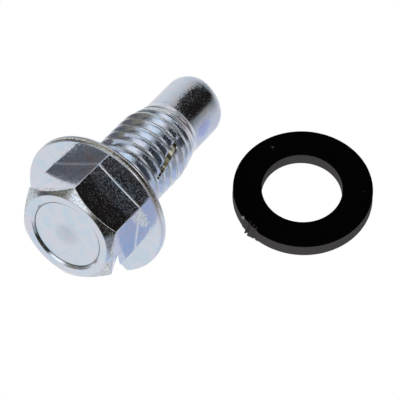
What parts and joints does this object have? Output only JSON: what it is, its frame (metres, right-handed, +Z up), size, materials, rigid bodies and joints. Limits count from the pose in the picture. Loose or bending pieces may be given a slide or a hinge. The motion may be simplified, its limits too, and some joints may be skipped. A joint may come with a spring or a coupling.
{
  "type": "oil drain plug",
  "caption": "Flanged hexagon-head drain plug with a cutting slot across its thread and a plain pilot point, lying beside its flat rubber gasket.",
  "frame": {"origin": "on the floor under the middle of the two pieces", "axes": "+Z is up; the plug lies on its rim and its point with the point towards +Y and somewhat +X, and the gasket lies flat at +X"},
  "size_m": [0.055, 0.0392, 0.0239],
  "materials": {
    "plated_steel": "bright zinc plate with light scratches",
    "black_rubber": "matte moulded rubber"
  },
  "bodies": {
    "root": {"drain_plug": "plated_steel", "gasket": "black_rubber"}
  },
  "joints": []
}
